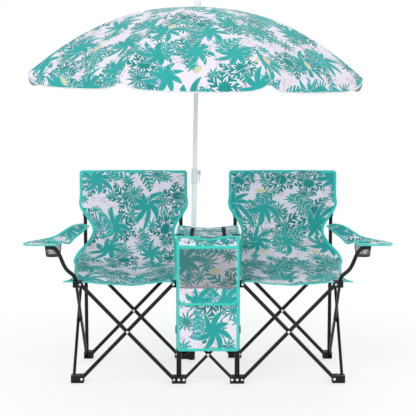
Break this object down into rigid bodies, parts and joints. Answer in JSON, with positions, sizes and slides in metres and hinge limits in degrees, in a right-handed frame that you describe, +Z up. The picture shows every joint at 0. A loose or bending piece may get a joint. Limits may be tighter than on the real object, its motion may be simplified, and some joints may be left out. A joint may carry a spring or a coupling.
{
  "type": "umbrella chair",
  "caption": "Folding camp chairs side by side on a crossed-tube frame, with a table, a hanging cool bag, cup holders and a parasol on a pole between them.",
  "frame": {"origin": "on the ground, under the middle of the overall box, between the two chairs", "axes": "+X to the right as seen from the front, +Y to the rear, +Z up"},
  "size_m": [1.519, 1.373, 1.6044],
  "materials": {
    "black_tube": "satin black powder coat",
    "black_plastic": "moulded, matt",
    "printed_cloth": "woven polyester, printed with leaves, turquoise bindings",
    "mesh_cloth": "open mesh",
    "white_pole": "gloss white coat",
    "white_plastic": "moulded, glossy",
    "rib_steel": "bright zinc"
  },
  "bodies": {
    "base": {"left_rear_inner_leg": "black_tube", "left_seat_and_back": "printed_cloth", "table_top": "printed_cloth"},
    "left_rear_cross_1": {"left_rear_cross_1": "black_tube"},
    "left_rear_cross_2": {"left_rear_cross_2": "black_tube"},
    "left_rear_outer_leg": {"left_rear_outer_leg": "black_tube"},
    "left_rear_outer_slider": {"left_rear_outer_slider": "black_plastic"},
    "left_rear_inner_slider": {"left_rear_inner_slider": "black_plastic"},
    "left_side_cross_1": {"left_side_cross_1": "black_tube"},
    "left_side_cross_2": {"left_side_cross_2": "black_tube"},
    "left_front_outer_foot": {"left_front_outer_foot": "black_plastic"},
    "left_front_outer_bracket": {"left_front_outer_bracket": "black_plastic", "left_arm_post": "black_tube", "left_armrest": "printed_cloth", "left_cup_holder": "mesh_cloth"},
    "left_front_cross_2": {"left_front_cross_2": "black_tube"},
    "left_front_cross_1": {"left_front_cross_1": "black_tube"},
    "left_front_inner_leg": {"left_front_inner_leg": "black_tube", "cool_bag": "printed_cloth"},
    "left_front_inner_slider": {"left_front_inner_slider": "black_plastic"},
    "centre_front_cross_1": {"centre_front_cross_1": "black_tube"},
    "centre_front_cross_2": {"centre_front_cross_2": "black_tube"},
    "left_front_centre_slider": {"left_front_centre_slider": "black_plastic"},
    "right_front_centre_slider": {"right_front_centre_slider": "black_plastic"},
    "centre_rear_cross_1": {"centre_rear_cross_1": "black_tube"},
    "centre_rear_cross_2": {"centre_rear_cross_2": "black_tube"},
    "left_rear_centre_slider": {"left_rear_centre_slider": "black_plastic"},
    "right_rear_centre_slider": {"right_rear_centre_slider": "black_plastic"},
    "right_rear_inner_leg": {"right_rear_inner_leg": "black_tube", "right_seat_and_back": "printed_cloth"},
    "right_rear_cross_1": {"right_rear_cross_1": "black_tube"},
    "right_rear_cross_2": {"right_rear_cross_2": "black_tube"},
    "right_rear_outer_leg": {"right_rear_outer_leg": "black_tube"},
    "right_rear_outer_slider": {"right_rear_outer_slider": "black_plastic"},
    "right_rear_inner_slider": {"right_rear_inner_slider": "black_plastic"},
    "right_side_cross_1": {"right_side_cross_1": "black_tube"},
    "right_side_cross_2": {"right_side_cross_2": "black_tube"},
    "right_front_outer_foot": {"right_front_outer_foot": "black_plastic"},
    "right_front_outer_bracket": {"right_front_outer_bracket": "black_plastic", "right_arm_post": "black_tube", "right_armrest": "printed_cloth", "right_cup_holder": "mesh_cloth"},
    "right_front_cross_2": {"right_front_cross_2": "black_tube"},
    "right_front_cross_1": {"right_front_cross_1": "black_tube"},
    "right_front_inner_leg": {"right_front_inner_leg": "black_tube"},
    "right_front_inner_slider": {"right_front_inner_slider": "black_plastic"},
    "cool_bag_flap": {"cool_bag_flap": "printed_cloth"},
    "lower_pole": {"lower_pole": "white_pole"},
    "clamp_lever": {"clamp_lever": "white_plastic"},
    "upper_pole": {"upper_pole": "white_pole", "canopy": "printed_cloth"},
    "runner": {"runner_and_stretchers": "rib_steel"},
    "rib_1": {"rib_1": "rib_steel"},
    "rib_2": {"rib_2": "rib_steel"},
    "rib_3": {"rib_3": "rib_steel"},
    "rib_4": {"rib_4": "rib_steel"},
    "rib_5": {"rib_5": "rib_steel"},
    "rib_6": {"rib_6": "rib_steel"},
    "rib_7": {"rib_7": "rib_steel"},
    "rib_8": {"rib_8": "rib_steel"}
  },
  "joints": [
    {"name": "fold", "type": "hinge", "parent": "base", "child": "left_rear_cross_1", "pos_m": [-0.141, 0.04, 0.016], "axis": [0, 1, 0], "range_deg": [0, 34], "deforming": ["left_seat_and_back", "right_seat_and_back", "left_armrest", "right_armrest", "table_top", "cool_bag"]},
    {"name": "left_rear_cross_middle", "type": "hinge", "parent": "left_rear_cross_1", "child": "left_rear_cross_2", "pos_m": [-0.3325, 0.04, 0.216], "axis": [0, 1, 0], "range_deg": [-68, 0]},
    {"name": "left_rear_outer_foot", "type": "hinge", "parent": "left_rear_cross_2", "child": "left_rear_outer_leg", "pos_m": [-0.524, 0.04, 0.016], "axis": [0, 1, 0], "range_deg": [0, 34]},
    {"name": "left_rear_outer_top", "type": "hinge", "parent": "left_rear_cross_1", "child": "left_rear_outer_slider", "pos_m": [-0.524, 0.04, 0.416], "axis": [0, 1, 0], "range_deg": [-34, 0]},
    {"name": "left_rear_inner_top", "type": "hinge", "parent": "left_rear_cross_2", "child": "left_rear_inner_slider", "pos_m": [-0.141, 0.04, 0.416], "axis": [0, 1, 0], "range_deg": [0, 34]},
    {"name": "left_side_cross_1_foot", "type": "hinge", "parent": "left_rear_outer_leg", "child": "left_side_cross_1", "pos_m": [-0.5515, 0.018, 0.016], "axis": [-1, 0, 0], "range_deg": [0, 34]},
    {"name": "left_side_cross_middle", "type": "hinge", "parent": "left_side_cross_1", "child": "left_side_cross_2", "pos_m": [-0.5515, -0.1735, 0.216], "axis": [-1, 0, 0], "range_deg": [-68, 0]},
    {"name": "left_side_front_foot", "type": "hinge", "parent": "left_side_cross_2", "child": "left_front_outer_foot", "pos_m": [-0.5515, -0.365, 0.016], "axis": [-1, 0, 0], "range_deg": [0, 34]},
    {"name": "left_side_front_top", "type": "hinge", "parent": "left_side_cross_1", "child": "left_front_outer_bracket", "pos_m": [-0.5515, -0.365, 0.416], "axis": [-1, 0, 0], "range_deg": [-34, 0]},
    {"name": "left_front_outer_foot", "type": "hinge", "parent": "left_front_outer_foot", "child": "left_front_cross_2", "pos_m": [-0.524, -0.387, 0.016], "axis": [0, 1, 0], "range_deg": [-34, 0]},
    {"name": "left_front_cross_middle", "type": "hinge", "parent": "left_front_cross_2", "child": "left_front_cross_1", "pos_m": [-0.3325, -0.387, 0.216], "axis": [0, 1, 0], "range_deg": [0, 68]},
    {"name": "left_front_inner_foot", "type": "hinge", "parent": "left_front_cross_1", "child": "left_front_inner_leg", "pos_m": [-0.141, -0.387, 0.016], "axis": [0, 1, 0], "range_deg": [-34, 0]},
    {"name": "left_front_inner_top", "type": "hinge", "parent": "left_front_cross_2", "child": "left_front_inner_slider", "pos_m": [-0.141, -0.387, 0.416], "axis": [0, 1, 0], "range_deg": [0, 34]},
    {"name": "centre_front_cross_1_foot", "type": "hinge", "parent": "left_front_inner_leg", "child": "centre_front_cross_1", "pos_m": [-0.1, -0.387, 0.016], "axis": [0, 1, 0], "range_deg": [-34, 0]},
    {"name": "centre_front_cross_middle", "type": "hinge", "parent": "centre_front_cross_1", "child": "centre_front_cross_2", "pos_m": [0, -0.387, 0.12044], "axis": [0, 1, 0], "range_deg": [0, 68]},
    {"name": "centre_front_left_top", "type": "hinge", "parent": "centre_front_cross_2", "child": "left_front_centre_slider", "pos_m": [-0.1, -0.387, 0.22488], "axis": [0, 1, 0], "range_deg": [-34, 0]},
    {"name": "centre_front_right_top", "type": "hinge", "parent": "centre_front_cross_1", "child": "right_front_centre_slider", "pos_m": [0.1, -0.387, 0.22488], "axis": [0, 1, 0], "range_deg": [0, 34]},
    {"name": "centre_rear_cross_1_foot", "type": "hinge", "parent": "base", "child": "centre_rear_cross_1", "pos_m": [-0.1, 0.04, 0.016], "axis": [0, 1, 0], "range_deg": [-34, 0]},
    {"name": "centre_rear_cross_middle", "type": "hinge", "parent": "centre_rear_cross_1", "child": "centre_rear_cross_2", "pos_m": [0, 0.04, 0.12044], "axis": [0, 1, 0], "range_deg": [0, 68]},
    {"name": "centre_rear_left_top", "type": "hinge", "parent": "centre_rear_cross_2", "child": "left_rear_centre_slider", "pos_m": [-0.1, 0.04, 0.22488], "axis": [0, 1, 0], "range_deg": [-34, 0]},
    {"name": "centre_rear_right_top", "type": "hinge", "parent": "centre_rear_cross_1", "child": "right_rear_centre_slider", "pos_m": [0.1, 0.04, 0.22488], "axis": [0, 1, 0], "range_deg": [0, 34]},
    {"name": "centre_rear_cross_2_foot", "type": "hinge", "parent": "centre_rear_cross_2", "child": "right_rear_inner_leg", "pos_m": [0.1, 0.04, 0.016], "axis": [0, 1, 0], "range_deg": [-34, 0]},
    {"name": "right_rear_cross_1_foot", "type": "hinge", "parent": "right_rear_inner_leg", "child": "right_rear_cross_1", "pos_m": [0.141, 0.04, 0.016], "axis": [0, 1, 0], "range_deg": [-34, 0]},
    {"name": "right_rear_cross_middle", "type": "hinge", "parent": "right_rear_cross_1", "child": "right_rear_cross_2", "pos_m": [0.3325, 0.04, 0.216], "axis": [0, 1, 0], "range_deg": [0, 68]},
    {"name": "right_rear_outer_foot", "type": "hinge", "parent": "right_rear_cross_2", "child": "right_rear_outer_leg", "pos_m": [0.524, 0.04, 0.016], "axis": [0, 1, 0], "range_deg": [-34, 0]},
    {"name": "right_rear_outer_top", "type": "hinge", "parent": "right_rear_cross_1", "child": "right_rear_outer_slider", "pos_m": [0.524, 0.04, 0.416], "axis": [0, 1, 0], "range_deg": [0, 34]},
    {"name": "right_rear_inner_top", "type": "hinge", "parent": "right_rear_cross_2", "child": "right_rear_inner_slider", "pos_m": [0.141, 0.04, 0.416], "axis": [0, 1, 0], "range_deg": [-34, 0]},
    {"name": "right_side_cross_1_foot", "type": "hinge", "parent": "right_rear_outer_leg", "child": "right_side_cross_1", "pos_m": [0.5515, 0.018, 0.016], "axis": [-1, 0, 0], "range_deg": [0, 34]},
    {"name": "right_side_cross_middle", "type": "hinge", "parent": "right_side_cross_1", "child": "right_side_cross_2", "pos_m": [0.5515, -0.1735, 0.216], "axis": [-1, 0, 0], "range_deg": [-68, 0]},
    {"name": "right_side_front_foot", "type": "hinge", "parent": "right_side_cross_2", "child": "right_front_outer_foot", "pos_m": [0.5515, -0.365, 0.016], "axis": [-1, 0, 0], "range_deg": [0, 34]},
    {"name": "right_side_front_top", "type": "hinge", "parent": "right_side_cross_1", "child": "right_front_outer_bracket", "pos_m": [0.5515, -0.365, 0.416], "axis": [-1, 0, 0], "range_deg": [-34, 0]},
    {"name": "right_front_outer_foot", "type": "hinge", "parent": "right_front_outer_foot", "child": "right_front_cross_2", "pos_m": [0.524, -0.387, 0.016], "axis": [0, 1, 0], "range_deg": [0, 34]},
    {"name": "right_front_cross_middle", "type": "hinge", "parent": "right_front_cross_2", "child": "right_front_cross_1", "pos_m": [0.3325, -0.387, 0.216], "axis": [0, 1, 0], "range_deg": [-68, 0]},
    {"name": "right_front_inner_foot", "type": "hinge", "parent": "right_front_cross_1", "child": "right_front_inner_leg", "pos_m": [0.141, -0.387, 0.016], "axis": [0, 1, 0], "range_deg": [0, 34]},
    {"name": "right_front_inner_top", "type": "hinge", "parent": "right_front_cross_2", "child": "right_front_inner_slider", "pos_m": [0.141, -0.387, 0.416], "axis": [0, 1, 0], "range_deg": [-34, 0]},
    {"name": "bag_flap", "type": "hinge", "parent": "left_front_inner_leg", "child": "cool_bag_flap", "pos_m": [0, -0.422, 0.59589], "axis": [-1, 0, 0], "range_deg": [0, 95]},
    {"name": "pole_lift", "type": "slide", "parent": "base", "child": "lower_pole", "axis": [0.0187, 0, 0.9998], "range_m": [0, 0.06]},
    {"name": "pole_height", "type": "slide", "parent": "lower_pole", "child": "upper_pole", "axis": [0.0187, 0, 0.9998], "range_m": [-0.1, 0.12]},
    {"name": "clamp_lever", "type": "hinge", "parent": "lower_pole", "child": "clamp_lever", "pos_m": [-0.03743, 0, 0.83776], "axis": [0, -1, 0], "range_deg": [0, 100]},
    {"name": "umbrella_close", "type": "slide", "parent": "upper_pole", "child": "runner", "axis": [0.0187, 0, 0.9998], "range_m": [-0.32, 0], "deforming": ["canopy", "runner_and_stretchers"]},
    {"name": "rib_1_pin", "type": "hinge", "parent": "upper_pole", "child": "rib_1", "pos_m": [-0.03331, 0.00498, 1.53991], "axis": [-0.3826, 0.9239, 0.0071], "range_deg": [0, 67.51]},
    {"name": "rib_2_pin", "type": "hinge", "parent": "upper_pole", "child": "rib_2", "pos_m": [-0.04034, 0.01201, 1.54004], "axis": [-0.9237, 0.3827, 0.0173], "range_deg": [0, 67.51]},
    {"name": "rib_3_pin", "type": "hinge", "parent": "upper_pole", "child": "rib_3", "pos_m": [-0.05029, 0.01201, 1.54022], "axis": [-0.9237, -0.3827, 0.0173], "range_deg": [0, 67.51]},
    {"name": "rib_4_pin", "type": "hinge", "parent": "upper_pole", "child": "rib_4", "pos_m": [-0.05732, 0.00498, 1.54036], "axis": [-0.3826, -0.9239, 0.0071], "range_deg": [0, 67.51]},
    {"name": "rib_5_pin", "type": "hinge", "parent": "upper_pole", "child": "rib_5", "pos_m": [-0.05732, -0.00498, 1.54036], "axis": [0.3826, -0.9239, -0.0071], "range_deg": [0, 67.51]},
    {"name": "rib_6_pin", "type": "hinge", "parent": "upper_pole", "child": "rib_6", "pos_m": [-0.05029, -0.01201, 1.54022], "axis": [0.9237, -0.3827, -0.0173], "range_deg": [0, 67.51]},
    {"name": "rib_7_pin", "type": "hinge", "parent": "upper_pole", "child": "rib_7", "pos_m": [-0.04034, -0.01201, 1.54004], "axis": [0.9237, 0.3827, -0.0173], "range_deg": [0, 67.51]},
    {"name": "rib_8_pin", "type": "hinge", "parent": "upper_pole", "child": "rib_8", "pos_m": [-0.03331, -0.00498, 1.53991], "axis": [0.3826, 0.9239, -0.0071], "range_deg": [0, 67.51]}
  ],
  "couplings": [
    {"joint": "left_rear_cross_middle", "follows": "fold", "ratio": -2},
    {"joint": "left_rear_outer_foot", "follows": "fold", "ratio": 1},
    {"joint": "left_rear_outer_top", "follows": "fold", "ratio": -1},
    {"joint": "left_rear_inner_top", "follows": "fold", "ratio": 1},
    {"joint": "left_side_cross_1_foot", "follows": "fold", "ratio": 1},
    {"joint": "left_side_cross_middle", "follows": "fold", "ratio": -2},
    {"joint": "left_side_front_foot", "follows": "fold", "ratio": 1},
    {"joint": "left_side_front_top", "follows": "fold", "ratio": -1},
    {"joint": "left_front_outer_foot", "follows": "fold", "ratio": -1},
    {"joint": "left_front_cross_middle", "follows": "fold", "ratio": 2},
    {"joint": "left_front_inner_foot", "follows": "fold", "ratio": -1},
    {"joint": "left_front_inner_top", "follows": "fold", "ratio": 1},
    {"joint": "centre_front_cross_1_foot", "follows": "fold", "ratio": -1},
    {"joint": "centre_front_cross_middle", "follows": "fold", "ratio": 2},
    {"joint": "centre_front_left_top", "follows": "fold", "ratio": -1},
    {"joint": "centre_front_right_top", "follows": "fold", "ratio": 1},
    {"joint": "centre_rear_cross_1_foot", "follows": "fold", "ratio": -1},
    {"joint": "centre_rear_cross_middle", "follows": "fold", "ratio": 2},
    {"joint": "centre_rear_left_top", "follows": "fold", "ratio": -1},
    {"joint": "centre_rear_right_top", "follows": "fold", "ratio": 1},
    {"joint": "centre_rear_cross_2_foot", "follows": "fold", "ratio": -1},
    {"joint": "right_rear_cross_1_foot", "follows": "fold", "ratio": -1},
    {"joint": "right_rear_cross_middle", "follows": "fold", "ratio": 2},
    {"joint": "right_rear_outer_foot", "follows": "fold", "ratio": -1},
    {"joint": "right_rear_outer_top", "follows": "fold", "ratio": 1},
    {"joint": "right_rear_inner_top", "follows": "fold", "ratio": -1},
    {"joint": "right_side_cross_1_foot", "follows": "fold", "ratio": 1},
    {"joint": "right_side_cross_middle", "follows": "fold", "ratio": -2},
    {"joint": "right_side_front_foot", "follows": "fold", "ratio": 1},
    {"joint": "right_side_front_top", "follows": "fold", "ratio": -1},
    {"joint": "right_front_outer_foot", "follows": "fold", "ratio": 1},
    {"joint": "right_front_cross_middle", "follows": "fold", "ratio": -2},
    {"joint": "right_front_inner_foot", "follows": "fold", "ratio": 1},
    {"joint": "right_front_inner_top", "follows": "fold", "ratio": -1},
    {"joint": "rib_1_pin", "follows": "umbrella_close", "rad_per_m": -3.6816},
    {"joint": "rib_2_pin", "follows": "umbrella_close", "rad_per_m": -3.6816},
    {"joint": "rib_3_pin", "follows": "umbrella_close", "rad_per_m": -3.6816},
    {"joint": "rib_4_pin", "follows": "umbrella_close", "rad_per_m": -3.6816},
    {"joint": "rib_5_pin", "follows": "umbrella_close", "rad_per_m": -3.6816},
    {"joint": "rib_6_pin", "follows": "umbrella_close", "rad_per_m": -3.6816},
    {"joint": "rib_7_pin", "follows": "umbrella_close", "rad_per_m": -3.6816},
    {"joint": "rib_8_pin", "follows": "umbrella_close", "rad_per_m": -3.6816}
  ]
}
